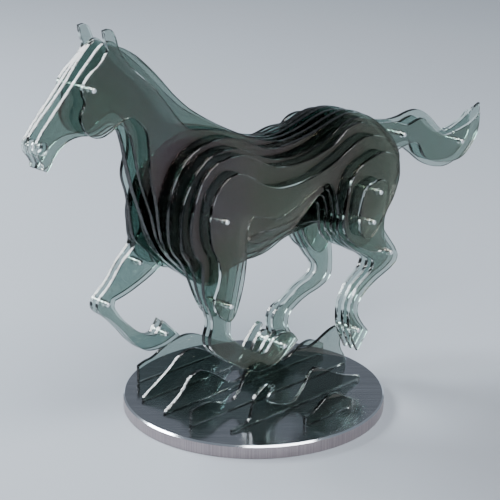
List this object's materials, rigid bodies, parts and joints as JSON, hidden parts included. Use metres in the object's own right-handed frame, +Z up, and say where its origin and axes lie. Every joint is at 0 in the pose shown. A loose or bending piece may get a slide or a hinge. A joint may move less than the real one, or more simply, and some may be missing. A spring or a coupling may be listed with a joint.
{
  "type": "horse figurine",
  "caption": "Galloping horse figurine built from parallel upright glass sheets on cross rods, above wave-shaped glass ground on a round metal base.",
  "frame": {"origin": "centre of the base's underside", "axes": "+X from the head to the tail, +Z up, the horse's near (left) side on -Y"},
  "size_m": [0.4752, 0.2, 0.314],
  "materials": {
    "glass": "clear, slightly smoky green, polished edges",
    "rod_steel": "polished",
    "base_metal": "brushed"
  },
  "bodies": {
    "root": {"base": "base_metal", "ground_1": "glass", "ground_2": "glass", "ground_3": "glass", "ground_4": "glass", "ground_5": "glass", "ground_6": "glass", "horse_middle": "glass", "horse_near_1": "glass", "horse_near_2": "glass", "horse_near_3": "glass", "horse_near_4": "glass", "horse_near_5": "glass", "horse_near_6": "glass", "horse_near_7": "glass", "horse_near_8": "glass", "horse_far_1": "glass", "horse_far_2": "glass", "horse_far_3": "glass", "horse_far_4": "glass", "horse_far_5": "glass", "horse_far_6": "glass", "horse_far_7": "glass", "horse_far_8": "glass", "rod_cheek": "rod_steel", "rod_shoulder": "rod_steel", "rod_near_forearm": "rod_steel", "rod_far_forearm": "rod_steel", "rod_far_knee": "rod_steel", "rod_far_fore_hoof": "rod_steel", "rod_haunch_upper": "rod_steel", "rod_haunch_lower": "rod_steel", "rod_near_hock": "rod_steel", "rod_near_hind_hoof": "rod_steel", "rod_near_fore_hoof": "rod_steel", "rod_tail_root": "rod_steel", "rod_tail_tip": "rod_steel"}
  },
  "joints": []
}
